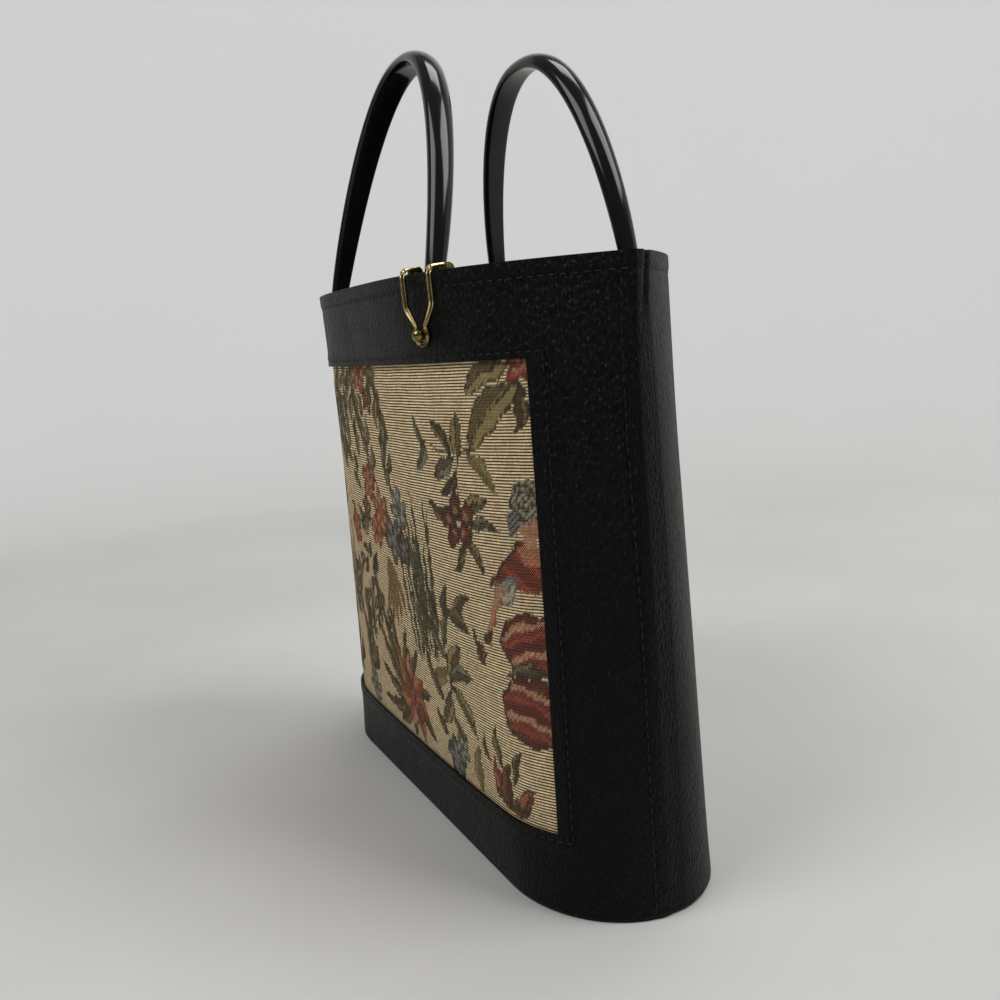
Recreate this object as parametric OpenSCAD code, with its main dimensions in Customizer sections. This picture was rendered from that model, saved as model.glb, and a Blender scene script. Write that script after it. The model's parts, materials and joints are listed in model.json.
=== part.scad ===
// Tall handbag with a woven front, two loop handles and a wishbone clasp.
// Origin at the centre of the flat bottom, +Z up, the woven front faces -Y.

/* [Body] */
// Length from end seam to end seam, at the bottom and at the mouth
body_length = 325; // [300:1:360]
// Height from the bottom to the rim
body_height = 277; // [240:1:320]
// Depth of the bottom, front to back
base_depth = 94; // [80:1:110]
// Depth of the mouth at its middle
mouth_depth = 133; // [115:1:150]
// Length of each rounded end of the bottom
base_end = 58; // [48:1:70]
// Fullness of the mouth's curve, higher is flatter in the middle
mouth_fullness = 3.2; // [2.8:0.1:4]
// Thickness of the vinyl panels with their backing
panel_t = 1.6; // [1.2:0.1:2.2]
// Thickness of the bottom panel
base_t = 2.4; // [1.6:0.2:4]
// Thickness of the stiff board on the bottom panel
board_t = 2; // [1.5:0.5:4]

/* [Tapestry] */
// Width of the window in the front panel
window_w = 266; // [200:1:275]
// Height of the window's lower edge
window_bottom = 36; // [25:1:60]
// Vinyl band between the window and the rim
window_top_band = 39; // [38:1:60]
// Thickness of the woven sheet
tapestry_t = 0.8; // [0.5:0.1:0.8]
// Woven sheet held behind the vinyl, all round
tapestry_margin = 4; // [3:0.5:8]

/* [Mouth and lining] */
// Thickness of the facing inside the mouth
facing_t = 0.8; // [0.6:0.1:1.2]
// Height of the facing
facing_h = 28; // [25:1:40]
// Thickness of the folded hem on the rim
hem_t = 1.2; // [0.8:0.1:2]
// Thickness of the lining
lining_t = 0.6; // [0.4:0.1:1]

/* [Handles] */
// Distance between the legs of a handle
handle_span = 152; // [130:1:170]
// Height of a handle above its pins
handle_rise = 123; // [90:1:140]
// Width of a handle at its top
handle_w = 14.5; // [10:0.5:16]
// Width of a handle at its pins
leg_w = 6.5; // [6.5:0.5:8]
// Thickness of a handle, flat face to crown
handle_t = 7; // [6:0.5:8]
// Squareness of the arch across
arch_across = 2.2; // [2:0.1:3]
// Squareness of the arch upwards
arch_up = 1.8; // [1.4:0.1:2]
// Lean of the front handle over the mouth, in degrees
front_lean = 12.5; // [6:0.5:20]
// Lean of the back handle over the mouth, in degrees
back_lean = 6; // [2:0.5:20]

/* [Handle anchors] */
// Depth of the pins below the rim
pivot_drop = 8; // [8:0.5:11]
// Diameter of the pins
pin_d = 3; // [2:0.1:3.5]
// Thickness of the anchor's ears
ear_t = 1.4; // [1:0.1:1.8]
// Width of the anchor's plate
anchor_w = 26; // [20:1:34]
// Height of the anchor's plate
anchor_h = 15; // [12:0.5:16]

/* [Clasp] */
// How far the clasp's middle lies outside the leg
clasp_beside = 3; // [0:0.5:3]
// Distance between the arms of the clasp
clasp_w = 19.5; // [19:0.5:26]
// Depth of the ball stud below the rim
clasp_drop = 26.5; // [25:0.5:30]
// Straight length of the arms below the rim
arm_straight = 14; // [8:0.5:16]
// Width of an arm
arm_w = 3.6; // [2.5:0.1:4]
// Thickness of an arm
arm_t = 1.6; // [1:0.1:2]
// Diameter of the ball stud
ball_d = 6; // [5:0.2:6.4]
// Diameter of the stub pins that the arms turn on
stub_d = 2.4; // [2:0.1:2.6]

/* [Hidden] */

// Colours of the finishes
vinyl_black = "#1b1b1c";
handle_black = "#0c0c0d";
weave_ecru = "#b9a887";
lining_black = "#262524";
board_grey = "#6d6a63";
gilt = "#b8963e";
steel = "#8c8c8a";

// Clearances: between sewn layers, of a pin in a fixed hole, of a turning pin, of moving metal,
// and of a handle's leg inside the rim
layer_gap = 0.2;
fixed_fit = 0.02;
running_fit = 0.05;
moving_gap = 0.4;
leg_gap = 0.6;

// Columns of facets along half an outline, and rows of facets up a wall
outline_cols = 34;
wall_rows = 2;
// Larger than the bag in every direction
reach = 500;
// Cutters run past the faces that they cut, and whole lofts past the rim and the bottom
past = 1;
loft_past = 6;

// Depths of the layers below the outer face of the vinyl
plate_t = 0.8;
plate_inset = panel_t + layer_gap;
facing_inset = plate_inset + plate_t + layer_gap;
rim_total = facing_inset + facing_t;

function blend(a, b, t) = a + (b - a) * t;

// Half outlines of the bottom and the mouth at s, from -1 at one end seam to 1 at the other
function base_half(s, inset) =
    let (end = base_end - inset, straight = body_length / 2 - base_end)
    let (past_straight = max(0, abs(s) * (straight + end) - straight) / end)
    (base_depth / 2 - inset) * sqrt(max(0, 1 - past_straight * past_straight));
function mouth_half(s, inset) = (mouth_depth / 2 - inset) * (1 - pow(abs(s), mouth_fullness));

// An inset wall pulls back further at the pointed ends of the mouth
mouth_point = atan(mouth_depth * mouth_fullness / body_length);
function wall_length(z, inset) =
    body_length / 2 - blend(inset, inset / sin(mouth_point), z / body_height);
function wall_half(s, z, inset) = blend(base_half(s, inset), mouth_half(s, inset), z / body_height);
function wall_at(x, z) = wall_half(x / wall_length(z, 0), z, 0);

// Outline of the bag at a height, front first, and the closed solid between two heights
function outline(z, inset) = [
    for (i = [0 : 2 * outline_cols - 1])
        let (front = i <= outline_cols, s = -cos(180 * i / outline_cols))
        [wall_length(z, inset) * s, (front ? -1 : 1) * wall_half(s, z, inset), z]
];
// Quarters of a ring have mirrored facets, so that a mirrored piece fits its neighbours
module closed_rings(rings) {
    n = len(rings[0]);
    last = len(rings) - 1;
    sides = [
        for (r = [0 : last - 1], i = [0 : n - 1])
            let (a = r * n + i, b = r * n + (i + 1) % n)
            each floor(4 * i / n) % 2 == 0
                ? [[a, a + n, b + n], [a, b + n, b]]
                : [[a, a + n, b], [a + n, b + n, b]]
    ];
    bottom = [for (i = [0 : n - 1]) i];
    top = [for (i = [n - 1 : -1 : 0]) last * n + i];
    polyhedron([for (ring = rings) each ring], concat(sides, [bottom, top]));
}
module tall_loft(inset) {
    closed_rings([
        for (r = [0 : wall_rows])
            outline(blend(-loft_past, body_height + loft_past, r / wall_rows), inset)
    ]);
}
module loft(inset, z0, z1) {
    intersection() {
        tall_loft(inset);
        translate([-reach, -reach, z0]) cube([2 * reach, 2 * reach, z1 - z0]);
    }
}
module wall(inset, t, z0, z1) {
    difference() {
        loft(inset, z0, z1);
        tall_loft(inset + t);
    }
}
module front_block(x0, x1, z0, z1) {
    translate([x0, -reach, z0]) cube([x1 - x0, reach, z1 - z0]);
}

// Panels

window_top = body_height - window_top_band;
module front_panel() {
    color(vinyl_black)
    difference() {
        wall(0, panel_t, 0, body_height);
        translate([-reach, 0, -reach]) cube(2 * reach);
        front_block(-window_w / 2, window_w / 2, window_bottom, window_top);
        at_stud() {
            cylinder(d = stud_neck_d + 2 * running_fit, h = 2 * rim_total, center = true);
            // Flat seats, pressed into the vinyl by the stud's flange and washer
            cylinder(d = ball_d + 2 * moving_gap, h = rim_total);
            translate([0, 0, -panel_t - rim_total]) cylinder(d = washer_d + 2 * moving_gap, h = rim_total);
        }
    }
}
module back_panel() {
    color(vinyl_black)
    difference() {
        wall(0, panel_t, 0, body_height);
        translate([-reach, -2 * reach, -reach]) cube(2 * reach);
    }
}
module tapestry_panel() {
    color(weave_ecru)
    difference() {
        intersection() {
            wall(plate_inset, tapestry_t, 0, body_height);
            front_block(
                -window_w / 2 - tapestry_margin, window_w / 2 + tapestry_margin,
                window_bottom - tapestry_margin, window_top + tapestry_margin
            );
        }
        at_stud() cylinder(d = washer_d + 2 * moving_gap, h = 2 * rim_total, center = true);
    }
}
module base_panel() {
    color(vinyl_black) loft(panel_t + layer_gap, 0, base_t);
}
board_z = base_t + layer_gap;
module base_board() {
    color(board_grey) loft(panel_t + layer_gap, board_z, board_z + board_t);
}

// Lining bag, and the facing that is turned over the rim

facing_z = body_height - facing_h;
lining_z = board_z + board_t + layer_gap;
module lining() {
    color(lining_black)
    difference() {
        loft(facing_inset, lining_z, facing_z - layer_gap);
        loft(facing_inset + lining_t, lining_z + lining_t, facing_z + past);
    }
}
module rim_facing() {
    color(vinyl_black)
    difference() {
        union() {
            wall(facing_inset, facing_t, facing_z, body_height);
            wall(panel_t + running_fit, rim_total - panel_t, body_height - hem_t, body_height);
        }
        for (side_x = [0, 1], side_y = [0, 1])
            mirror([side_x, 0, 0]) mirror([0, side_y, 0]) anchor_ears(ear_t + 2 * layer_gap, layer_gap);
    }
}

// Handle anchors: a formed plate between panel and facing, and two ears through the facing

leg_x = handle_span / 2;
pivot_z = body_height - pivot_drop;
wall_turn = atan((wall_at(leg_x - 1, body_height) - wall_at(leg_x + 1, body_height)) / 2);
pivot_y = wall_at(leg_x + handle_t / 2, pivot_z) - rim_total / cos(wall_turn) - leg_gap - leg_w / 2;
ear_r = leg_w / 2 - moving_gap;
ear_inner = handle_t / 2 + moving_gap;
pin_head_t = 0.8;
pin_head_d = pin_d + 1.8;

module along_x(x, y, z) {
    translate([x, y, z]) rotate([0, 90, 0]) children();
}
module anchor_ears(t, grow) {
    for (side = [-1, 1])
        translate([leg_x + side * (ear_inner + ear_t / 2), 0, 0]) {
            along_x(-t / 2, -pivot_y, pivot_z) cylinder(r = ear_r + grow, h = t);
            translate([-t / 2, -reach, pivot_z - ear_r - grow])
                cube([t, reach - pivot_y, 2 * (ear_r + grow)]);
        }
}
module handle_anchor() {
    top = body_height - hem_t - layer_gap;
    color(steel)
    difference() {
        union() {
            intersection() {
                wall(plate_inset, plate_t, top - anchor_h, top);
                front_block(leg_x - anchor_w / 2, leg_x + anchor_w / 2, 0, reach);
            }
            intersection() {
                loft(plate_inset, top - anchor_h, top);
                anchor_ears(ear_t, 0);
            }
        }
        along_x(0, -pivot_y, pivot_z) cylinder(d = pin_d + 2 * fixed_fit, h = handle_span);
    }
}
module front_right_anchor() { handle_anchor(); }
module front_left_anchor() { mirror([1, 0, 0]) handle_anchor(); }
module back_right_anchor() { mirror([0, 1, 0]) handle_anchor(); }
module back_left_anchor() { mirror([1, 0, 0]) mirror([0, 1, 0]) handle_anchor(); }

module handle_pins() {
    pin_half = ear_inner + ear_t + layer_gap / 4;
    color(steel)
    for (x = [-leg_x, leg_x], y = [-pivot_y, pivot_y]) {
        along_x(x - pin_half, y, pivot_z) cylinder(d = pin_d, h = 2 * pin_half);
        along_x(x - pin_half - pin_head_t, y, pivot_z) cylinder(d = pin_head_d, h = pin_head_t);
        along_x(x + pin_half, y, pivot_z) cylinder(d = pin_head_d, h = pin_head_t);
    }
}

// Handles: a half-round section swept along an arch, with an eye at each end for its pin

arch_steps = 40;
section_sides = 16;
// The flat face's rounded edges take this share of the thickness
section_edge = 0.3;
// How soon a leg widens above its pin
leg_flare = 0.5;
function arch_point(a) = [
    sign(a) * leg_x * pow(abs(sin(a)), 2 / arch_across),
    (handle_rise - handle_t / 2) * pow(cos(a), 2 / arch_up)
];
function arch_heading(a) =
    let (step = 90 / arch_steps, d = arch_point(min(90, a + step)) - arch_point(max(-90, a - step)))
    abs(a) == 90 ? [0, -sign(a)] : d / norm(d);
function section_ring(a) =
    let (p = arch_point(a), t = arch_heading(a), w = blend(leg_w, handle_w, pow(cos(a), leg_flare)))
    let (edge = section_edge * handle_t)
    [
        for (k = [0 : section_sides - 1])
            let (c = cos(360 * k / section_sides), d = sin(360 * k / section_sides))
            let (out = edge - handle_t / 2 + (d > 0 ? (handle_t - edge) * d : -edge * pow(-d, 0.4)))
            [p[0] - t[1] * out, w / 2 * c, p[1] + t[0] * out]
    ];
module loop_handle() {
    color(handle_black)
    difference() {
        union() {
            closed_rings([for (i = [-arch_steps : 2 : arch_steps]) section_ring(90 * i / arch_steps)]);
            for (x = [-leg_x, leg_x])
                along_x(x - handle_t / 2, 0, 0) cylinder(d = leg_w, h = handle_t);
        }
        along_x(-handle_span, 0, 0) cylinder(d = pin_d + 2 * running_fit, h = 2 * handle_span);
    }
}
module front_handle() {
    translate([0, -pivot_y, pivot_z]) rotate([-front_lean, 0, 0]) loop_handle();
}
module back_handle() {
    translate([0, pivot_y, pivot_z]) rotate([back_lean, 0, 0]) loop_handle();
}

// Clasp: its own frame stands on the rim by the front handle's right leg,
// X along the rim, Y into the bag, Z up the wall

clasp_x = leg_x + clasp_beside;
stud_z = body_height - clasp_drop;
clasp_turn = atan((wall_at(clasp_x - 1, body_height) - wall_at(clasp_x + 1, body_height)) / 2);
clasp_tilt = atan((wall_at(clasp_x, body_height) - wall_at(clasp_x, stud_z)) / clasp_drop);
module at_clasp() {
    translate([clasp_x, -wall_at(clasp_x, body_height), body_height])
        rotate([0, 0, clasp_turn]) rotate([clasp_tilt, 0, 0]) children();
}
// The stud stands square on the panel, Z out of the bag
stud_turn = atan((wall_at(clasp_x - 1, stud_z) - wall_at(clasp_x + 1, stud_z)) / 2);
module at_stud() {
    translate([clasp_x, -wall_at(clasp_x, stud_z), stud_z])
        rotate([0, 0, stud_turn]) rotate([90 + clasp_tilt, 0, 0]) children();
}
// How far the rim falls back from its tangent at a distance along it
function rim_drop(x) =
    (wall_at(clasp_x, body_height) - wall_at(clasp_x + x, body_height)) * cos(clasp_turn)
    - x * sin(clasp_turn);

arm_x = clasp_w / 2;
rim_over = 1;
bend_r = 1.2;
eye_wall = 1.3;
eye_r = stub_d / 2 + running_fit + eye_wall;
arm_edge = arm_x + arm_w / 2;
stub_y = rim_total + max(rim_drop(arm_edge), rim_drop(-arm_edge)) + moving_gap + eye_r;
stub_z = 0.6;
ring_w = 1.7;
ring_r = ball_d / 2 + 0.6;
neck_spread = 40;
// Rails along both edges of the arms and the ring: their share of the width, and their height
rail_share = 0.3;
rail_h = 0.6;

// Side view of an arm's top: over the rim and round its stub pin
module arm_hook() {
    bend_y = bend_r - moving_gap;
    bend_z = rim_over - bend_r;
    difference() {
        union() {
            translate([bend_y, rim_over]) square([stub_y - bend_y, arm_t]);
            translate([stub_y, stub_z]) circle(r = eye_r, $fn = 48);
            intersection() {
                translate([bend_y, bend_z]) difference() {
                    circle(r = bend_r + arm_t, $fn = 48);
                    circle(r = bend_r, $fn = 48);
                }
                translate([bend_y - reach, bend_z]) square(reach);
            }
        }
        translate([stub_y, stub_z]) circle(d = stub_d + 2 * running_fit, $fn = 48);
    }
}
// Front view of the wishbone, or of the groove between its rails
module wishbone(edge = 0) {
    ring_mid = ring_r + ring_w / 2;
    neck_x = ring_mid * sin(neck_spread);
    neck_z = ring_mid * cos(neck_spread) - clasp_drop;
    arm_top = rim_over - bend_r;
    arm_half = arm_w * (0.5 - edge);
    ring_half = ring_w * (0.5 - edge);
    for (side = [0, 1])
        mirror([side, 0])
            polygon([
                [arm_x - arm_half, arm_top], [arm_x + arm_half, arm_top],
                [arm_x + arm_half, -arm_straight], [neck_x + ring_half, neck_z],
                [neck_x - ring_half, neck_z], [arm_x - arm_half, -arm_straight]
            ]);
    translate([0, -clasp_drop]) difference() {
        circle(r = ring_mid + ring_half, $fn = 64);
        circle(r = ring_mid - ring_half, $fn = 64);
    }
}
module clasp() {
    color(gilt)
    at_clasp() {
        translate([0, -moving_gap, 0]) rotate([90, 0, 0]) difference() {
            linear_extrude(arm_t) wishbone();
            translate([0, 0, arm_t - rail_h]) linear_extrude(arm_t) wishbone(rail_share);
        }
        for (x = [-arm_x, arm_x])
            translate([x - arm_w / 2, 0, 0]) rotate([90, 0, 90]) linear_extrude(arm_w) arm_hook();
    }
}

// Bracket on the facing, with an ear and a stub pin for each arm of the clasp

bracket_h = 21;
bracket_t = 0.8;
bracket_ear_t = 1.5;
stub_head_d = stub_d + 1.6;
stub_head_t = 1.2;
bracket_ear_x = arm_edge + moving_gap;
module clasp_bracket() {
    inset = rim_total + layer_gap;
    slot_half = ear_inner + ear_t + pin_head_t + 2 * moving_gap;
    half = bracket_ear_x + bracket_ear_t;
    low = body_height - bracket_h;
    color(gilt) {
        difference() {
            intersection() {
                wall(inset, bracket_t, low, body_height - eye_r - moving_gap);
                front_block(clasp_x - half, clasp_x + half, 0, reach);
            }
            front_block(leg_x - slot_half, leg_x + slot_half, pivot_z - leg_w, reach);
        }
        intersection() {
            loft(inset + bracket_t / 2, low, body_height + loft_past);
            at_clasp() for (side = [0, 1])
                mirror([side, 0, 0]) {
                    translate([bracket_ear_x, 0, -pivot_drop])
                        cube([bracket_ear_t, stub_y, pivot_drop + stub_z]);
                    along_x(bracket_ear_x, stub_y, stub_z) cylinder(r = eye_r, h = bracket_ear_t, $fn = 48);
                }
        }
        at_clasp() for (side = [0, 1])
            mirror([side, 0, 0]) {
                along_x(arm_x - arm_w / 2, stub_y, stub_z)
                    cylinder(d = stub_d, h = half + stub_head_t / 2 - arm_x + arm_w / 2);
                along_x(half - bracket_ear_t / 2, stub_y, stub_z)
                    cylinder(d = stub_head_d, h = bracket_ear_t / 2 + stub_head_t);
            }
    }
}

// Ball stud through the panel, and the washer behind it

stud_neck_d = 3;
stud_flange_t = 0.5;
washer_d = 6.4;
washer_t = 0.5;
ball_stand = moving_gap;
module ball_stud() {
    tail = plate_inset + washer_t + fixed_fit;
    color(gilt)
    at_stud() {
        translate([0, 0, -tail]) cylinder(d = stud_neck_d, h = tail + ball_stand + ball_d / 4);
        translate([0, 0, fixed_fit]) cylinder(d = ball_d, h = stud_flange_t);
        translate([0, 0, ball_stand + ball_d / 2]) sphere(d = ball_d, $fn = 48);
    }
}
module stud_washer() {
    color(steel)
    at_stud() translate([0, 0, -plate_inset - washer_t]) difference() {
        cylinder(d = washer_d, h = washer_t);
        translate([0, 0, -past]) cylinder(d = stud_neck_d + 2 * fixed_fit, h = washer_t + 2 * past);
    }
}

front_panel();
back_panel();
tapestry_panel();
base_panel();
base_board();
lining();
rim_facing();
front_left_anchor();
front_right_anchor();
back_left_anchor();
back_right_anchor();
handle_pins();
front_handle();
back_handle();
clasp_bracket();
clasp();
ball_stud();
stud_washer();
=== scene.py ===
# Handbag with a woven front: black grained vinyl, a tapestry window, two glossy loop handles
# and a gilt wishbone clasp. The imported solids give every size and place, and each section
# below dresses one piece, in the order in which such a bag is put together.
import functools
import json
import math

import bmesh
import bpy
import numpy as np
from mathutils import Matrix, Vector, noise


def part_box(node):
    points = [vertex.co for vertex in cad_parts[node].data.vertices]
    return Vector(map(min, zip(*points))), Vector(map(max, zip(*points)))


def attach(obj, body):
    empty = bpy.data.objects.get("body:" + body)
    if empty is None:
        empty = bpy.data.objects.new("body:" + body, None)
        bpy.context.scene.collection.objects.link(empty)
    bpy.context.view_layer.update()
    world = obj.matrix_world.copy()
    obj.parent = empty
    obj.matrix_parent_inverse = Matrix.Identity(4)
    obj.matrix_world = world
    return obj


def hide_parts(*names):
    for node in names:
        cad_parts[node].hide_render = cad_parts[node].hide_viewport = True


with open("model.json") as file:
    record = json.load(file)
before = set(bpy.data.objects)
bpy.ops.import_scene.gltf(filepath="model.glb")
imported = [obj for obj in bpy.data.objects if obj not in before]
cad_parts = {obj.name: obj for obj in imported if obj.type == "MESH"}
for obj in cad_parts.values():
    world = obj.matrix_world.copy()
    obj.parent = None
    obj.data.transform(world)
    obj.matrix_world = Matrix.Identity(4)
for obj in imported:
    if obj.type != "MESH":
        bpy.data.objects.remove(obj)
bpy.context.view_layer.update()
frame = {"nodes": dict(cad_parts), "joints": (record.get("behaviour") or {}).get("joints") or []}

# Front panel: black vinyl on a fabric backing, cut out for the window and hemmed at the rim.
# Its ends lie over the back panel a little short of the corners, and are sewn down there.
MM = 0.001
front_low, front_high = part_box("front_panel")
body_length = front_high.x - front_low.x
half_body = body_length / 2
body_height = front_high.z
mouth_depth = 2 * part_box("back_panel")[1].y
base_depth = 94 * MM
base_end = 58 * MM
mouth_fullness = 3.2
mouth_point = math.atan(mouth_depth * mouth_fullness / body_length)
vinyl_t = 1.6 * MM
cut_edge = 0.7 * MM
window_bottom = 36 * MM
window_top = body_height - 39 * MM
window_mid = 133 * MM
window_flare = 3.4 * MM
hem_line = body_height - 7 * MM
edge_low, edge_high, edge_top = 1.1 * MM, 3 * MM, 1.8 * MM
lap_rise = 0.9 * MM
seam_from_edge = 5.5 * MM
stitch_beside = 6 * MM
stitch_above = 2.6 * MM
FRONT, BACK = -1, 1


def blend(a, b, share):
    return a + (b - a) * share


def ease(low, high, value):
    """0 below low, 1 above high, and a smooth step between."""
    share = min(1, max(0, (value - low) / (high - low)))
    return share * share * (3 - 2 * share)


def hump(distance, width):
    return math.exp(-((distance / width) ** 2))


def wall_point(s, z, inset, side):
    """A point of the bag's wall, s from -1 to 1 between the end seams, inset below the vinyl's face."""
    end = base_end - inset
    straight = half_body - base_end
    beyond = max(0, abs(s) * (straight + end) - straight) / end
    base_half = (base_depth / 2 - inset) * math.sqrt(max(0, 1 - beyond * beyond))
    mouth_half = (mouth_depth / 2 - inset) * (1 - abs(s) ** mouth_fullness)
    up = z / body_height
    half_length = half_body - blend(inset, inset / math.sin(mouth_point), up)
    return Vector((half_length * s, side * blend(base_half, mouth_half, up), z))


def corner_distance(s, z):
    return (wall_point(s, z, 0, BACK) - wall_point(math.copysign(1, s), z, 0, BACK)).length


@functools.cache
def from_corner(distance, z):
    """The s at which the wall is this far from its corner seam."""
    low, high = 0.7, 1.0
    for _ in range(24):
        middle = (low + high) / 2
        low, high = (middle, high) if corner_distance(middle, z) > distance else (low, middle)
    return low


def edge_from_corner(z):
    """How far short of the corner the front panel ends; most a little below the rim."""
    high = blend(edge_low, edge_high, ease(0.4 * body_height, 0.8 * body_height, z))
    return blend(high, edge_top, ease(body_height - 35 * MM, body_height, z))


def edge_s(z):
    return from_corner(edge_from_corner(z), z)


def swell(x, z):
    """Slow waves of the sewn walls, which every layer shares; they die out at the seams."""
    calm = ease(0, 30 * MM, half_body - abs(x)) * ease(0, 25 * MM, z)
    return 0.55 * MM * calm * noise.noise(Vector((x * 17, 2.3, z * 13)))


def ladder(*runs):
    """Positions along one edge, from runs of (start, end, steps) that follow each other."""
    marks = [start + (end - start) * k / steps for start, end, steps in runs for k in range(steps)]
    return marks + [runs[-1][1]]


def grid_mesh(cols, rows, place, flat, weld=0.0):
    """Quads with corners at place(col, row), and at flat(col, row) on the flat cut; weld joins close ones."""
    mesh = bmesh.new()
    last_col, last_row = len(cols) - 1, len(rows) - 1
    bmesh.ops.create_grid(mesh, x_segments=last_col, y_segments=last_row, size=0.5)
    cut = mesh.loops.layers.uv.new("flat_cut")
    on_cut = {}
    for corner in mesh.verts:
        col = cols[round((corner.co.x + 0.5) * last_col)]
        row = rows[round((corner.co.y + 0.5) * last_row)]
        on_cut[corner] = flat(col, row)
        corner.co = place(col, row)
    for face in mesh.faces:
        for loop in face.loops:
            loop[cut].uv = on_cut[loop.vert]
    if weld:
        bmesh.ops.remove_doubles(mesh, verts=mesh.verts, dist=weld)
    return mesh


def put_in_scene(name, mesh, material):
    """Makes a smooth object of a finished mesh."""
    for face in mesh.faces:
        face.smooth = True
    data = bpy.data.meshes.new(name)
    mesh.to_mesh(data)
    mesh.free()
    data.materials.append(material)
    made = bpy.data.objects.new(name, data)
    bpy.context.scene.collection.objects.link(made)
    return made


def new_piece(name, mesh, material, body="bag"):
    made = put_in_scene(name, mesh, material)
    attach(made, body)
    return made


def thicken(piece, thickness, edge=0.0):
    """Gives a sheet its thickness, away from its face, and rounds the cut edges."""
    wall = piece.modifiers.new("thickness", "SOLIDIFY")
    wall.thickness = thickness
    wall.offset = -1
    if edge:
        round_off = piece.modifiers.new("edges", "BEVEL")
        round_off.width = edge
        round_off.segments = 2
        round_off.limit_method = "ANGLE"
        round_off.angle_limit = math.radians(60)


def connect(tree, socket, value):
    """Sets a socket to a value, or links it to the output of another node."""
    if isinstance(value, bpy.types.NodeSocket):
        tree.links.new(value, socket)
    else:
        socket.default_value = value


def feed(material, socket, value, node="Principled BSDF"):
    """Sets or links a socket of a material's main shader."""
    connect(material.node_tree, material.node_tree.nodes[node].inputs[socket], value)


def shader(name, colour, roughness, metallic=0.0, specular=0.5):
    """A new material, with the plain values of its main shader set."""
    made = bpy.data.materials.new(name)
    made.use_nodes = True
    feed(made, "Base Color", (*colour, 1))
    feed(made, "Roughness", roughness)
    feed(made, "Metallic", metallic)
    feed(made, "Specular IOR Level", specular)
    return made


def add(material, kind, sockets, **settings):
    """A shader node with its sockets set to values, or linked to the outputs of other nodes."""
    made = material.node_tree.nodes.new("ShaderNode" + kind)
    for key, value in settings.items():
        setattr(made, key, value)
    for socket, value in sockets.items():
        connect(material.node_tree, made.inputs[socket], value)
    return made


def maths(material, operation, *values):
    return add(material, "Math", dict(enumerate(values)), operation=operation).outputs["Value"]


def remap(material, value, low, high, from_low=0.0, from_high=1.0, **settings):
    """A value moved from one range into another, from low to high."""
    sockets = {"Value": value, "From Min": from_low, "From Max": from_high, "To Min": low, "To Max": high}
    return add(material, "MapRange", sockets, **settings).outputs["Result"]


def speckle(material, vector, scale, detail, distortion=0.0):
    sockets = {"Vector": vector, "Scale": scale, "Detail": detail, "Distortion": distortion}
    return add(material, "TexNoise", sockets).outputs["Fac"]


def stretch(material, vector, scale):
    return add(material, "Mapping", {"Vector": vector, "Scale": scale}).outputs["Vector"]


def on_cut(material):
    """Where a point lies on the flat cut."""
    return add(material, "UVMap", {}, uv_map="flat_cut").outputs["UV"]


def tint(material, share, dark, light, span=(0, 1)):
    """A colour between dark and light."""
    ramp = add(material, "ValToRGB", {"Fac": share})
    for stop, colour, position in zip(ramp.color_ramp.elements, (dark, light), span):
        stop.color = (*colour, 1)
        stop.position = position
    return ramp.outputs["Color"]


def emboss(material, height, strength, distance):
    bump = add(material, "Bump", {"Height": height, "Strength": strength, "Distance": distance})
    feed(material, "Normal", bump.outputs["Normal"])


def vinyl_finish():
    """Black embossed vinyl: fine upright grain, satin, with a little wear in its gloss."""
    made = shader("grained_vinyl", (0.003, 0.003, 0.0031), 0.38, specular=0.13)
    cut = on_cut(made)
    grain = speckle(made, stretch(made, cut, (1150, 300, 1)), 1.0, 3.0, 0.6)
    pits = {"Vector": stretch(made, cut, (640, 230, 1)), "Scale": 1.0}
    cells = add(made, "TexVoronoi", pits, feature="DISTANCE_TO_EDGE").outputs["Distance"]
    emboss(made, maths(made, "ADD", grain, remap(made, cells, 0.0, 0.5, from_high=0.28)), 1.0, 0.001)
    rubbed = speckle(made, stretch(made, cut, (60, 22, 1)), 1.0, 4.0)
    feed(made, "Roughness", remap(made, rubbed, 0.3, 0.46))
    feed(made, "Base Color", tint(made, grain, (0.0005, 0.0005, 0.0006), (0.0032, 0.0032, 0.0033)))
    return made


def hem_relief(z):
    """The folded hem stands proud above its stitch line, which is drawn in."""
    fold = 0.45 * MM * ease(hem_line - 0.5 * MM, hem_line + 2 * MM, z)
    return fold - 0.3 * MM * hump(z - hem_line, 1.2 * MM)


def foot_relief(z):
    """The lower edge is turned under."""
    return -1.1 * MM * (1 - ease(0, 2.6 * MM, z)) ** 2


def window_half(z):
    """Half the window's width: seen flat it is square, on the bent wall it is wider at the foot."""
    up = (min(window_top, max(window_bottom, z)) - window_bottom) / (window_top - window_bottom)
    return window_mid + window_flare * (1 - 2 * up)


def lean_with_window(s, z):
    """Slants the columns of the panel so that two of them run along the window's sides."""
    place = window_half(z) / half_body
    if abs(s) <= window_s:
        return s * place / window_s
    return math.copysign(blend(place, edge_s(z), (abs(s) - window_s) / (1 - window_s)), s)


def lip_relief(x, z):
    """The turned edge round the window, with its stitch line drawn in."""
    beside = abs(x) - window_half(z)
    above = max(z - window_top, window_bottom - z)
    turned = 0.5 * MM * (1 - ease(0.8 * stitch_beside, 1.4 * stitch_beside, max(beside, above)))
    sewn = hump(beside - stitch_beside, 1.0 * MM) if above < stitch_above else 0
    if beside < stitch_beside:
        sewn = max(sewn, hump(above - stitch_above, 0.9 * MM))
    return turned - 0.3 * MM * sewn


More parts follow.
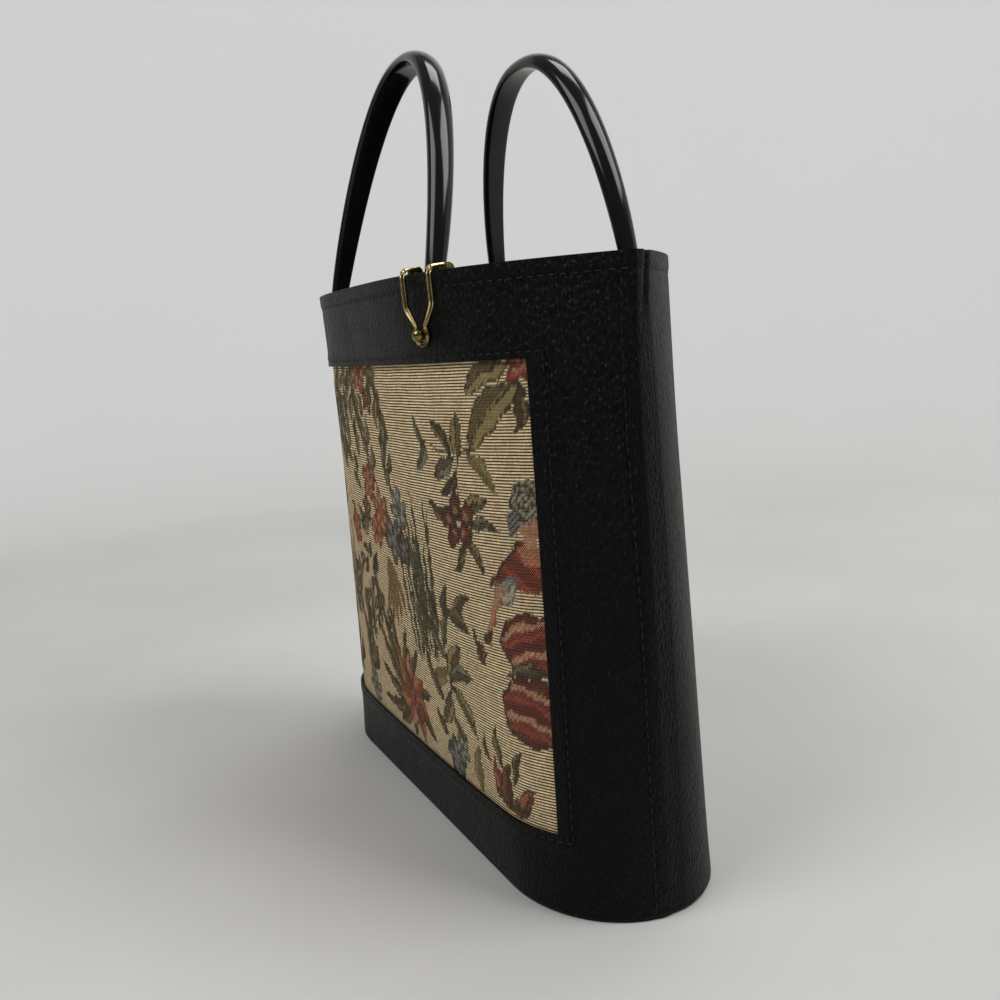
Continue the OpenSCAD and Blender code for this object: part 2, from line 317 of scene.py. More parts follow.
def seam_relief(distance, z):
    """The sewn end of the panel: raised over the back panel, drawn in and puckered along its stitches."""
    raised = lap_rise * (1 - ease(3 * MM, 11 * MM, distance)) * ease(-6 * MM, 16 * MM, z)
    drawn = 0.4 * MM * hump(distance - seam_from_edge, 1.1 * MM)
    pucker = 0.4 * MM * hump(distance - 0.5 * seam_from_edge, 3 * MM)
    return raised - drawn + pucker * noise.noise(Vector((distance * 300, 5.5, z * 210)))


def front_panel_point(col, z):
    s = lean_with_window(col, z)
    x = s * half_body
    out = swell(x, z) + hem_relief(z) + foot_relief(z) + lip_relief(x, z)
    return wall_point(s, z, -out - seam_relief(corner_distance(s, z) - edge_from_corner(z), z), FRONT)


def flat_wall(col, z):
    """Place on the flat cut: along the arc at half height, and up."""
    return (math.copysign(arc_to[round(abs(col), 6)], col), z)


window_s = window_mid / half_body
lip_s = (window_mid + 9 * MM) / half_body
lip_angle = math.acos(lip_s)
corner_cols = [math.cos(lip_angle * k / 30) for k in range(30)]
left_cols = [-col for col in corner_cols]
panel_cols = left_cols + ladder((-lip_s, -window_s, 14), (-window_s, window_s, 90), (window_s, lip_s, 14))
panel_cols += [-col for col in reversed(left_cols)]
panel_rows = ladder(
    (0, 5 * MM, 6), (5 * MM, window_bottom - 5 * MM, 12), (window_bottom - 5 * MM, window_bottom, 8),
    (window_bottom, window_top, 80), (window_top, window_top + 5 * MM, 8),
    (window_top + 5 * MM, hem_line - 4 * MM, 11), (hem_line - 4 * MM, body_height, 16),
)
arc_to = {}
length_so_far, last_point = 0.0, wall_point(0, body_height / 2, 0, FRONT)
for col in sorted({round(abs(col), 6) for col in panel_cols}):
    here = wall_point(col, body_height / 2, 0, FRONT)
    length_so_far += (here - last_point).length
    last_point = here
    arc_to[col] = length_so_far

grained_vinyl = vinyl_finish()
mesh = grid_mesh(panel_cols, panel_rows, front_panel_point, flat_wall)
in_window = []
for face in mesh.faces:
    middle = face.calc_center_median()
    if middle.y < 0 and window_bottom < middle.z < window_top and abs(middle.x) < window_half(middle.z):
        in_window.append(face)
bmesh.ops.delete(mesh, geom=in_window, context="FACES")
front_panel = new_piece("front_vinyl", mesh, grained_vinyl)
thicken(front_panel, vinyl_t, cut_edge)
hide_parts("front_panel")

# Back panel: one piece of the same vinyl, plain, hemmed at the rim.
# It turns the corners in a round nose, creased inwards at the rim, and runs in under the front panel.
crease_depth = 1.8 * MM
nose_low, nose_top = 9 * MM, 5 * MM
nose_fullness, tucked_under = 0.4, 4 * MM
nose_share, tuck_share = 0.8, 0.2
nose_cut = 16 * MM


def back_panel_point(col, z):
    """Columns past -1 and 1 turn the corner."""
    end, turned = math.copysign(1, col), max(0, abs(col) - 1)
    reach = blend(nose_low, nose_top, ease(body_height - 45 * MM, body_height, z))
    s = from_corner(reach, z) * (end if turned else col)
    distance = reach * (1 - 2 * turned) if turned else corner_distance(s, z)
    below = body_height - z
    crease = hump(distance - blend(8 * MM, 1.5 * MM, min(1, below / (28 * MM))), 2.2 * MM)
    crease *= crease_depth * (1 - ease(8 * MM, 34 * MM, below))
    out = swell(-s * half_body, z) + hem_relief(z) + foot_relief(z) - crease
    start = wall_point(s, z, -out, BACK)
    if not turned:
        return start
    stop = wall_point(end * edge_s(z), z, -foot_relief(z), FRONT)
    if turned > nose_share:
        under = end * from_corner(edge_from_corner(z) + tucked_under, z)
        tucked = wall_point(under, z, vinyl_t - foot_relief(z), FRONT)
        return stop.lerp(tucked, (turned - nose_share) / tuck_share)
    corner = wall_point(end, z, -out, BACK)
    u = turned / nose_share
    pull = [(1 - u) ** 2, 2 * nose_fullness * u * (1 - u), u ** 2]
    return (start * pull[0] + corner * pull[1] + stop * pull[2]) / sum(pull)


def flat_back(col, z):
    along = arc_to[round(min(1, abs(col)), 6)] + nose_cut * max(0, abs(col) - 1)
    return (-math.copysign(along, col), z)


nose_cols = [1 + k / 20 for k in range(20, 0, -1)]
turned_cols = nose_cols + panel_cols[::-1] + [-col for col in reversed(nose_cols)]
back_rows = ladder(
    (0, 5 * MM, 6), (5 * MM, hem_line - 4 * MM, 70), (hem_line - 4 * MM, body_height, 16),
)
mesh = grid_mesh(turned_cols, back_rows, back_panel_point, flat_back)
back_panel = new_piece("back_vinyl", mesh, grained_vinyl)
thicken(back_panel, vinyl_t, cut_edge)
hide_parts("back_panel")

# Bottom: a vinyl panel sewn into the lower edge of the walls, with a stiff board laid on it.
# The board is cut a little smaller and shows only inside, under the lining.
base_low, base_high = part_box("base_panel")
base_inset = 1.8 * MM
base_thickness = base_high.z - base_low.z
seam_weld = 0.01 * MM


def base_point(s, across):
    edge = wall_point(s, 0, base_inset, BACK)
    rolled = 0.7 * MM * ease(0.93, 1, abs(across))
    return Vector((edge.x, -across * edge.y, base_low.z + rolled))


def flat_base(s, across):
    edge = wall_point(s, 0, base_inset, BACK)
    return (-across * edge.y, edge.x)


base_cols = [math.sin(math.radians(-90 + 180 * k / 80)) for k in range(81)]
base_rows = ladder((-1, -0.9, 6), (-0.9, 0.9, 24), (0.9, 1, 6))
mesh = grid_mesh(base_cols, base_rows, base_point, flat_base, seam_weld)
base_panel = new_piece("bottom_vinyl", mesh, grained_vinyl)
thicken(base_panel, base_thickness)
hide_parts("base_panel")


def in_place(material):
    """Where a point lies on its piece."""
    return add(material, "TexCoord", {}).outputs["Object"]


def dress(material, *nodes):
    """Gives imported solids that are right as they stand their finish."""
    for node in nodes:
        data = frame["nodes"][node].data
        data.materials.clear()
        data.materials.append(material)


grey_board = shader("pressed_board", (0.16, 0.15, 0.13), 0.85)
fibres = speckle(grey_board, in_place(grey_board), 900.0, 4.0)
feed(grey_board, "Base Color", tint(grey_board, fibres, (0.10, 0.09, 0.08), (0.24, 0.22, 0.19)))
dress(grey_board, "base_board")

# Tapestry: a ribbed cotton weave, set behind the window and caught in its stitches all round.
# The yarns make an old pastoral pattern: flower sprigs, reeds and a figure in a striped skirt.
tapestry_low, tapestry_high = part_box("tapestry_panel")
rib = 1.33 * MM
bead_pitch = 1.0 * MM
motif_shade = 0.78
tapestry_inset = 1.85 * MM
puff = 0.7 * MM
weave_steps = 440
weave_edge = (tapestry_high.x + 4 * MM) / half_body
weave_cols = ladder((-weave_edge, weave_edge, weave_steps))
rib_count = int((tapestry_high.z - tapestry_low.z) / rib)
weave_rows = [tapestry_low.z + rib * (k + 0.5) for k in range(rib_count)]


def tapestry_point(s, z):
    x = s * half_body
    inside = min(window_half(z) - abs(x), window_top - z, z - window_bottom)
    out = swell(x, z) - tapestry_inset + puff * ease(0, 14 * MM, inside)
    return wall_point(s, z, -out, FRONT)


def flat_weave(s, z):
    return (s * half_body, z - weave_rows[0])


def yarn(red, green, blue):
    """A yarn's colour, given as it looks on a screen, as light; all of them have aged towards brown."""
    light = np.array([((c / 255 + 0.055) / 1.055) ** 2.4 for c in (red, green, blue)])
    return blend(light, light.mean() * np.array([1.15, 1.0, 0.72]), 0.04)


ECRU = yarn(246, 222, 177)
OLIVE, OLIVE_DARK, OLIVE_PALE = yarn(116, 100, 50), yarn(30, 24, 12), yarn(166, 146, 88)
SAGE, SAGE_DARK = yarn(130, 132, 104), yarn(44, 48, 38)
GREEN, GREEN_DARK = yarn(124, 128, 84), yarn(46, 52, 32)
BURGUNDY, BURGUNDY_DARK = yarn(126, 26, 34), yarn(50, 10, 14)
CORAL, CORAL_PALE = yarn(200, 80, 62), yarn(228, 156, 120)
ORANGE, RUST = yarn(216, 120, 66), yarn(116, 50, 28)
BLUE, BLUE_PALE = yarn(104, 116, 120), yarn(170, 176, 168)
SKIN, BLACK, BROWN = yarn(216, 158, 122), yarn(38, 32, 28), yarn(134, 100, 66)
MM_X, MM_Z = np.meshgrid([s * half_body / MM for s in weave_cols], [z / MM for z in weave_rows])
ragged = np.random.default_rng(7).normal(size=(2, *MM_X.shape))
SPOT = MM_X + 0.6 * np.sin(MM_Z * 0.5 + 2 * np.sin(MM_X * 0.23)) + 0.3 * ragged[0]
SPOT = SPOT + 1j * (MM_Z + 0.6 * np.sin(MM_X * 0.45 + 2 * np.sin(MM_Z * 0.27)) + 0.3 * ragged[1])
pattern = np.zeros(SPOT.shape + (4,)) + [*ECRU, 1.0]
figured = 0.0
picks = np.add.outer(np.arange(SPOT.shape[0]), np.arange(SPOT.shape[1]) // 2) % 2 == 1


def weave_in(where, colour, second=None):
    """Weaves a colour into the pattern; a second one alternates with it, pick by pick."""
    pattern[where] = [*colour, figured]
    if second is not None:
        pattern[where & picks] = [*blend(colour, second, 0.7), figured]


def leaf(foot, tip, width, light=OLIVE, dark=OLIVE_DARK, bend=0.1):
    """A pointed, slightly bent leaf with a dark outline and vein, and one half in shade."""
    axis = tip - foot
    local = (SPOT - foot) / axis
    along = np.clip(local.real, 0, 1)
    across = (local.imag - bend * np.sin(np.pi * along)) * abs(axis)
    half = width / 2 * np.sin(np.pi * along ** 0.85) ** 0.8
    inside = (local.real > 0) & (local.real < 1) & (abs(across) < half)
    weave_in(inside, light, blend(light, ECRU, 0.3))
    weave_in(inside & (across < -0.1 * half), blend(light, dark, 0.4), dark)
    weave_in(inside & (abs(across) < 0.45) & (along < 0.9), dark)
    weave_in(inside & (abs(across) > half - min(1.1, 0.17 * width)), dark)


def stem(points, width, colour):
    """A stalk along a line through the points."""
    spots = np.array(points)
    run = np.linspace(0, len(spots) - 1, 30 * len(spots))
    knots = np.arange(len(spots))
    for spot in np.interp(run, knots, spots.real) + 1j * np.interp(run, knots, spots.imag):
        weave_in(abs(SPOT - spot) < width / 2, colour)


def flower(centre, radius, petals, outer, inner, heart, turn=0.0, flatten=1.0):
    """An open flower seen from the front, each petal shaded towards the next."""
    local = (SPOT - centre) * np.exp(-1j * turn)
    local = local.real + 1j * local.imag / flatten
    reach, angle = abs(local) / radius, np.angle(local)
    lobes = abs(np.cos(petals * angle / 2))
    around = (petals * angle / (2 * np.pi)) % 1
    rim = 0.58 + 0.42 * lobes ** 0.6 + 0.06 * np.sin(7 * angle)
    weave_in(reach < rim, outer, blend(outer, inner, 0.35))
    weave_in((reach < rim) & (around > 0.55), blend(outer, inner, 0.45), inner)
    weave_in((reach < rim) & (lobes < 0.35), inner)
    weave_in((reach < 0.6) & (reach > 0.35) & (lobes > 0.75), blend(outer, ECRU, 0.45), outer)
    weave_in((reach < rim) & (reach > rim - 0.14), inner)
    weave_in(reach < 0.26, heart, inner)


def reeds(foot, spread, height, count, light, dark):
    """A soft clump of narrow upright blades that fan out from one foot."""
    for k in range(count):
        lean = spread * (k / (count - 1) - 0.5)
        tall = height * (0.72 + 0.28 * math.cos(5.1 * k))
        tone = (light, blend(light, ECRU, 0.4), blend(light, dark, 0.5))[k % 3]
        leaf(foot + lean * 0.5, foot + lean + 1j * tall, 3.6, tone, dark, 0.03 * (-1) ** k)


def spray(foot, heading, length, leaves, light=OLIVE, dark=OLIVE_DARK):
    """A bent stalk, with narrow leaves that stand up from it by turns and one at its end."""
    way = length * np.exp(1j * math.radians(heading))
    shares = np.linspace(0, 1, leaves + 1)
    joints_at = [foot + way * share * np.exp(0.16j * math.sin(3 * share)) for share in shares]
    stem(joints_at, 0.9, dark)
    for k, joint in enumerate(joints_at[1:]):
        turn = 0.0 if k == leaves - 1 else (0.55 + 0.2 * math.sin(2.3 * k)) * (-1) ** k
        reach = way * (0.34 - 0.08 * k / leaves) * (1 + 0.18 * math.sin(5 * k + heading))
        tone = light if k % 3 else blend(light, ECRU, 0.3)
        tip = joint + reach * np.exp(1j * turn)
        leaf(joint - 0.1 * way, tip, 0.5 * abs(reach) + 1.4, tone, dark, 0.1 * (-1) ** k)


def striped_skirt(centre, wide, tall, curl):
    """Gathered cloth with bands that curve round it."""
    local = SPOT - centre
    inside = (local.real / wide) ** 2 + (local.imag / tall) ** 2 < 1
    band = (local.imag + curl * local.real + 0.016 * local.real ** 2) / 2.6
    stripe = np.floor(band).astype(int) % 5
    weave_in(inside, BURGUNDY, BURGUNDY_DARK)
    weave_in(inside & (stripe == 1), CORAL, BURGUNDY)
    weave_in(inside & (stripe == 2), blend(CORAL, BURGUNDY, 0.6), BURGUNDY_DARK)
    weave_in(inside & (stripe == 3), blend(ECRU, ORANGE, 0.4), CORAL)
    edge = (local.real / wide) ** 2 + (local.imag / tall) ** 2 > 0.82
    weave_in(inside & edge & (local.real < 0.4 * wide), BURGUNDY_DARK)


# Top right: a coral bloom with broad leaves
leaf(122 + 236j, 99 + 224j, 11, OLIVE_PALE, OLIVE_DARK, -0.1)
leaf(126 + 229j, 99 + 199j, 15, OLIVE_PALE, OLIVE_DARK, -0.06)
leaf(126 + 228j, 124 + 206j, 6.5)
flower(130 + 236j, 10, 5, CORAL, BURGUNDY, CORAL_PALE)
# Right of the middle: the burgundy flower on its hanging sprig
stem([100 + 201j, 92 + 197j, 78 + 199j, 63 + 204j], 1.1, OLIVE_DARK)
stem([91 + 197j, 89 + 184j, 86 + 172j], 1.1, OLIVE_DARK)
leaf(64 + 201j, 57 + 216j, 5.5, SAGE, SAGE_DARK)
leaf(87 + 197j, 72 + 213j, 6, OLIVE, OLIVE_DARK, -0.08)
leaf(92 + 197j, 94 + 216j, 9, OLIVE_PALE)
leaf(66 + 203j, 54 + 189j, 8, SAGE, SAGE_DARK)
leaf(88 + 197j, 69 + 188j, 9, SAGE)
leaf(90 + 190j, 74 + 179j, 6, OLIVE_DARK, BLACK)
leaf(97 + 199j, 113 + 180j, 8, OLIVE_PALE, OLIVE)
leaf(80 + 169j, 62 + 175j, 7)
leaf(92 + 171j, 109 + 179j, 8, OLIVE_PALE)
leaf(94 + 166j, 114 + 166j, 6, SAGE)
leaf(90 + 160j, 79 + 143j, 5.5)
leaf(90 + 160j, 103 + 144j, 6, OLIVE_PALE)
flower(86 + 167j, 14, 5, BURGUNDY, BURGUNDY_DARK, BLACK, 0.4, 0.9)
weave_in(abs((MM_X - 87) + 2.4j * (MM_Z - 166.5)) < 2.4, ECRU)
# Right edge: a seated figure, cut off by the window
striped_skirt(126 + 87j, 18, 16, 0.25)
striped_skirt(127 + 117j, 17.5, 14, -0.25)
leaf(112 + 101j, 136 + 106j, 6, SAGE, SAGE_DARK)
shawl = (SPOT.imag < 162 - 0.2 * (SPOT.real - 121)) & (SPOT.imag > 140)
shawl &= SPOT.real > 121 - (161 - SPOT.imag) * 0.8
weave_in(shawl, BURGUNDY, RUST)
weave_in(shawl & (np.floor((MM_X * 0.8 + MM_Z) / 4) % 3 == 0), CORAL, BURGUNDY)
weave_in(shawl & (SPOT.real < 123 - (161 - SPOT.imag) * 0.8), BURGUNDY_DARK)
leaf(121 + 145j, 106 + 133j, 11, blend(ECRU, BLUE_PALE, 0.5), BLUE, 0.05)
stem([112 + 140j, 107 + 130j, 101 + 115j], 4.2, SKIN)
stem([114 + 139j, 109 + 130j, 103 + 115j], 1.2, CORAL)
face = (abs((MM_X - 129) + 0.85j * (MM_Z - 169)) < 5.6) | ((abs(MM_X - 128) < 3) & (abs(MM_Z - 161.5) < 4))
weave_in(face, SKIN, CORAL_PALE)
weave_in((MM_Z < 160) & (MM_Z > 152) & (MM_X > 122 + (160 - MM_Z) * 0.4), SKIN, CORAL)
curls = abs((SPOT.real - 127) + 0.72j * (SPOT.imag - 179))
locks = abs((SPOT.real - 121) + 0.6j * (SPOT.imag - 169))
weave_in(curls < 7, blend(ECRU, BLUE_PALE, 0.6), BLACK)
weave_in((curls < 7) & (np.sin(curls * 2.6 + MM_X * 0.5) > 0.2), BLACK, SAGE_DARK)
weave_in(locks < 3.4, BLACK, BLUE_PALE)
leaf(96 + 110j, 88 + 119j, 4)
leaf(97 + 112j, 106 + 120j, 4)
flower(94 + 107j, 5, 5, BURGUNDY, BURGUNDY_DARK, BLACK)
# Lower right: a bell flower between slender leaves
leaf(92 + 54j, 88 + 70j, 4.5)
leaf(104 + 56j, 99 + 76j, 6.5, OLIVE_PALE)
leaf(113 + 51j, 119 + 69j, 5)
leaf(79 + 35j, 82 + 60j, 10, OLIVE_PALE, OLIVE)
leaf(108 + 37j, 96 + 60j, 10, CORAL, BURGUNDY)
leaf(107 + 37j, 109 + 60j, 10, BURGUNDY, BURGUNDY_DARK)
leaf(106 + 38j, 125 + 53j, 10, CORAL, BURGUNDY_DARK, -0.15)
leaf(107 + 40j, 122 + 40j, 5)
leaf(105 + 40j, 94 + 46j, 5)
# Reeds and dark leaves in the middle
reeds(44 + 104j, 28, 74, 7, SAGE, GREEN_DARK)
reeds(37 + 92j, 34, 92, 10, GREEN, GREEN_DARK)
reeds(24 + 88j, 24, 62, 6, SAGE, GREEN_DARK)
leaf(62 + 114j, 68 + 137j, 8, SAGE_DARK, GREEN_DARK)
leaf(70 + 118j, 88 + 133j, 8)
leaf(64 + 122j, 86 + 114j, 9)
leaf(48 + 108j, 28 + 124j, 9, SAGE_DARK, GREEN_DARK)
leaf(54 + 112j, 46 + 134j, 8, OLIVE_DARK, BLACK)
# Middle foot: a leafy plant with a pale blue flower
stem([58 + 40j, 57 + 70j, 57 + 88j, 56 + 114j], 1.5, OLIVE_DARK)
leaf(57 + 84j, 75 + 107j, 11, OLIVE_PALE)
leaf(58 + 88j, 84 + 92j, 9, SAGE)
leaf(56 + 90j, 34 + 83j, 10, OLIVE_PALE, OLIVE)
leaf(57 + 84j, 82 + 62j, 9, OLIVE_PALE)
leaf(57 + 80j, 41 + 60j, 10, OLIVE_PALE)
leaf(58 + 66j, 68 + 48j, 7)
leaf(56 + 96j, 44 + 114j, 8, SAGE, SAGE_DARK)
leaf(56 + 102j, 66 + 122j, 7, GREEN, GREEN_DARK)
leaf(46 + 54j, 34 + 66j, 7)
leaf(46 + 72j, 30 + 98j, 8)
flower(52 + 44j, 12, 5, BLUE, SAGE_DARK, BLUE_PALE, 0.3)
flower(62 + 52j, 8, 5, BLUE_PALE, SAGE_DARK, BLUE, 0.6)
# Left of the middle: orange blooms, a blue one and their sprays
for foot, heading, length, leaves in (
    (14 + 172j, 88, 38, 5), (-10 + 174j, 100, 42, 6), (-40 + 168j, 112, 40, 5), (-34 + 150j, 165, 32, 4),
    (-38 + 142j, 212, 32, 5), (-60 + 196j, 92, 38, 4),
):
    spray(foot, heading, length, leaves, OLIVE if leaves % 2 else OLIVE_PALE)
leaf(6 + 184j, 18 + 204j, 8, SAGE, SAGE_DARK)
leaf(-34 + 158j, -54 + 150j, 9)
leaf(-30 + 136j, -44 + 122j, 9, OLIVE_DARK, BLACK)
flower(-25 + 176j, 11, 5, ORANGE, RUST, CORAL_PALE)
flower(-10 + 161j, 14, 6, blend(ORANGE, CORAL_PALE, 0.35), RUST, ORANGE, 0.5)
flower(-23 + 149j, 10, 5, ORANGE, RUST, BURGUNDY, 0.2)
flower(-36 + 160j, 8, 5, RUST, BURGUNDY_DARK, ORANGE, 0.2)
flower(20 + 166j, 12, 6, BLUE_PALE, SAGE_DARK, BLUE, 0.2)
flower(5 + 148j, 14, 5, BLUE, BLACK, BLUE_PALE, 0.7)
flower(20 + 146j, 10, 5, SAGE_DARK, BLACK, BLUE_PALE, 0.4)
for tip in (-30 + 98j, -21 + 94j, -11 + 96j, -2 + 100j, 8 + 106j):
    leaf(-10 + 138j, tip, 6, blend(CORAL_PALE, BROWN, 0.4), BROWN)
spray(-42 + 128j, 262, 34, 6)
spray(-54 + 116j, 248, 40, 7, OLIVE_PALE)
spray(-20 + 86j, 120, 30, 5)
# Foot left: a large orange lily with long leaves
for tip in (
    -48 + 98j, -36 + 110j, -20 + 110j, 2 + 102j, 16 + 90j, -54 + 70j,
    28 + 68j, -58 + 48j, 26 + 42j, -34 + 38j, -10 + 36j,
):
    leaf(-4 + 58j, tip, 9)
for tip, petal in (
    (-18 + 86j, ORANGE), (2 + 88j, CORAL_PALE), (17 + 74j, ORANGE), (20 + 53j, CORAL), (6 + 37j, ORANGE),
    (-13 + 42j, CORAL_PALE), (-25 + 60j, ORANGE), (-8 + 76j, RUST), (10 + 46j, RUST),
):
    leaf(0 + 60j, tip, 13, petal, RUST, 0.08)
flower(0 + 60j, 7, 5, CORAL, RUST, OLIVE_DARK)
# Top left: a rust flower and hanging leaves
spray(2 + 242j, 282, 38, 6)
spray(-30 + 244j, 262, 44, 7)
spray(-44 + 242j, 250, 36, 6, SAGE)
leaf(-6 + 236j, 14 + 226j, 8, GREEN, GREEN_DARK)
flower(-14 + 234j, 11, 5, ORANGE, RUST, BURGUNDY)
flower(-5 + 221j, 8, 5, RUST, BURGUNDY_DARK, ORANGE)
# Far left: the sprays and flowers go on to the window's edge
for foot, heading, length, leaves in (
    (-62 + 242j, 256, 44, 7), (-66 + 178j, 104, 42, 7), (-72 + 50j, 84, 46, 7), (-104 + 46j, 96, 46, 7),
    (-110 + 216j, 258, 40, 7), (-72 + 130j, 240, 36, 6), (-96 + 150j, 100, 40, 6), (-122 + 150j, 84, 40, 6),
    (-118 + 66j, 80, 36, 6), (-88 + 236j, 272, 40, 6),
):
    spray(foot, heading, length, leaves, OLIVE if leaves % 2 else SAGE)
reeds(-90 + 88j, 26, 66, 9, GREEN, GREEN_DARK)
flower(-101 + 166j, 13, 6, BURGUNDY, BURGUNDY_DARK, BLACK, 0.2)
flower(-66 + 146j, 11, 5, CORAL, RUST, CORAL_PALE, 0.5)
flower(-119 + 112j, 12, 5, ORANGE, RUST, CORAL_PALE)
flower(-86 + 220j, 11, 6, BLUE, SAGE_DARK, BLUE_PALE)
flower(-123 + 226j, 10, 5, CORAL, BURGUNDY, CORAL_PALE)
flower(-76 + 46j, 11, 6, BLUE_PALE, SAGE_DARK, BLUE)
flower(-124 + 50j, 11, 5, CORAL, BURGUNDY, CORAL_PALE, 0.3)
pattern[..., :3] *= np.clip(1 + 0.11 * ragged[0] + 0.05 * ragged[1], 0.6, 1.35)[..., None]
pattern[pattern[..., 3] == figured, :3] *= motif_shade


def mix(material, share, first, second, blend_type="MIX"):
    """Two colours mixed, or one darkened by the other."""
    sockets = {0: share, 6: first, 7: second}
    return add(material, "Mix", sockets, data_type="RGBA", blend_type=blend_type).outputs[2]


woven = shader("ribbed_tapestry", (0.4, 0.35, 0.25), 0.9, specular=0.05)
cut = on_cut(woven)
split = add(woven, "SeparateXYZ", {"Vector": cut}).outputs
drift = remap(woven, speckle(woven, cut, 75.0, 3.0), -1.3, 1.3)
wave = maths(woven, "COSINE", maths(woven, "MULTIPLY_ADD", split["Y"], 2 * math.pi / rib, drift))
rib_top = remap(woven, wave, 0.0, 1.0, -0.7, 0.45)
groove = maths(woven, "SUBTRACT", 1.0, rib_top)
bead = maths(woven, "SINE", maths(woven, "MULTIPLY", split["X"], 2 * math.pi / bead_pitch))
twill = maths(woven, "MULTIPLY", bead, wave)
yarns = add(woven, "VertexColor", {}, layer_name="yarn").outputs
motif = maths(woven, "SUBTRACT", 1.0, yarns["Alpha"])
showing = maths(woven, "MULTIPLY_ADD", groove, 0.12, remap(woven, twill, 0.0, 0.24, 0.2, 0.8))
paled = mix(woven, maths(woven, "MULTIPLY", motif, showing), yarns["Color"], (0.66, 0.52, 0.34, 1))
dotted = mix(woven, motif, paled, remap(woven, twill, 0.12, 1.0, -0.7, 0.0), "MULTIPLY")
# Painted shade: the colour is darkened in the rib grooves, fully on the plain ground and lightly on the
# figured yarns.
groove_shade_share = maths(woven, "MULTIPLY", groove, remap(woven, yarns["Alpha"], 0.08, 1.0))
groove_shaded = mix(woven, groove_shade_share, dotted, (0.055, 0.03, 0.011, 1), "MULTIPLY")
slub = speckle(woven, stretch(woven, cut, (120, 760, 1)), 1.0, 4.0)
shade = remap(woven, slub, 0.68, 1.15, 0.25, 0.75)
feed(woven, "Base Color", mix(woven, 1.0, groove_shaded, shade, "MULTIPLY"))
ridge = maths(woven, "MULTIPLY_ADD", bead, 0.15, rib_top)
fibre = maths(woven, "MULTIPLY_ADD", speckle(woven, cut, 1500.0, 3.0), 0.4, ridge)
emboss(woven, fibre, 0.7, 0.0004)
feed(woven, "Sheen Weight", 0.02)

tapestry = new_piece("tapestry", grid_mesh(weave_cols, weave_rows, tapestry_point, flat_weave), woven)
yarn_colours = tapestry.data.color_attributes.new("yarn", "FLOAT_COLOR", "POINT")
yarn_colours.data.foreach_set("color", pattern.astype(np.float32).ravel())
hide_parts("tapestry_panel")

# Seams: black thread in long stitches, one row round the window, one below each hem,
# and one up each corner where the front panel is lapped over the back.
stitch_pitch = 4.7 * MM
stitch_half = 1.6 * MM
thread_r = 0.36 * MM
lengthwise = Matrix.Rotation(math.radians(90), 4, "X")
front_hem_end, back_hem_end = 0.985, 1.4
corner_foot, corner_top = 4 * MM, hem_line - 1 * MM


def row_of_stitches(mesh, place, start, end):
    """Sews along place(t), from t = start to end, with an even pitch whatever the run of t."""
    marks = [place(start + (end - start) * k / 600) for k in range(601)]
    gone, due = 0.0, stitch_pitch / 2
    for before, (here, out) in zip(marks, marks[1:]):
        step = here - before[0]
        gone += step.length
        if gone < due:
            continue
        due += stitch_pitch
        along = step.normalized()
        side = along.cross(out).normalized()
        lie = Matrix((side * thread_r, along * stitch_half, out * thread_r)).transposed().to_4x4()
        lie.translation = here + out * 0.1 * MM
        bmesh.ops.create_uvsphere(mesh, u_segments=6, v_segments=5, radius=1, matrix=lie @ lengthwise)


def on_panel(point_at, s, z):
    """A place on a panel and the direction out of it."""
    here = point_at(s, z)
    out = (point_at(s + 0.002, z) - here).cross(point_at(s, z + 0.5 * MM) - here).normalized()
    return here, out if out.y * here.y > 0 else -out


def panel_s(x, z):
    """The column of the front panel that runs through x at height z."""
    s, place = abs(x) / half_body, window_half(z) / half_body
    s = s * window_s / place if s <= place else blend(window_s, 1, (s - place) / (edge_s(z) - place))
    return math.copysign(s, x)


def on_front(x, z):
    return on_panel(front_panel_point, panel_s(x, z), z)


def beside_window(z, side):
    return on_front(side * (window_half(z) + stitch_beside), z)


def beside_corner(z, side):
    return on_front(side * from_corner(edge_from_corner(z) + seam_from_edge, z) * half_body, z)


black_thread = shader("waxed_thread", (0.012, 0.012, 0.012), 0.45, specular=0.25)
plies = speckle(black_thread, in_place(black_thread), 2600.0, 2.0)
emboss(black_thread, plies, 0.6, 0.0002)
feed(black_thread, "Base Color", tint(black_thread, plies, (0.006, 0.006, 0.006), (0.018, 0.018, 0.0175)))
mesh = bmesh.new()
top_line, low_line = window_top + stitch_above, window_bottom - stitch_above
for z in (top_line, low_line):
    edge = abs(panel_s(window_half(z) + stitch_beside, z))
    row_of_stitches(mesh, lambda s: on_panel(front_panel_point, s, z), -edge, edge)
for side in (-1, 1):
    row_of_stitches(mesh, lambda z: beside_window(z, side), low_line, top_line)
    row_of_stitches(mesh, lambda z: beside_corner(z, side), corner_foot, corner_top)
row_of_stitches(mesh, lambda s: on_panel(front_panel_point, s, hem_line), -front_hem_end, front_hem_end)
row_of_stitches(mesh, lambda s: on_panel(back_panel_point, s, hem_line), -back_hem_end, back_hem_end)
stitches = new_piece("seam_stitches", mesh, black_thread)

# Lining: plain dark cotton, sewn as a loose inner bag and caught under the facing.
# Nothing of it shows in the photo, so it is left plain, with only the slack of sewn cloth.
lining_low, lining_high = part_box("lining")
lining_inset = 3.3 * MM
cotton_pitch = 0.5 * MM
ring_cols = [(col, FRONT) for col in panel_cols] + [(col, BACK) for col in reversed(panel_cols[1:-1])]
ring_cols.append(ring_cols[0])


def ring_length():
    """Distances along the bag's girth at the columns of a ring."""
    points = [wall_point(s, body_height, 0, side) for s, side in ring_cols]
    marks, total = [], 0.0
    for before, here in zip(points[:1] + points, points):
        total += (here - before).length
        marks.append(total)
    return marks


girth = ring_length()
girth_at = list(range(len(ring_cols)))


def lining_point(k, z):
    s, side = ring_cols[k]
    x = s * half_body
    slack = 0.5 * MM * (1 + noise.noise(Vector((x * 30, side * 4.0, z * 22))))
    return wall_point(s, z, lining_inset + slack, side)


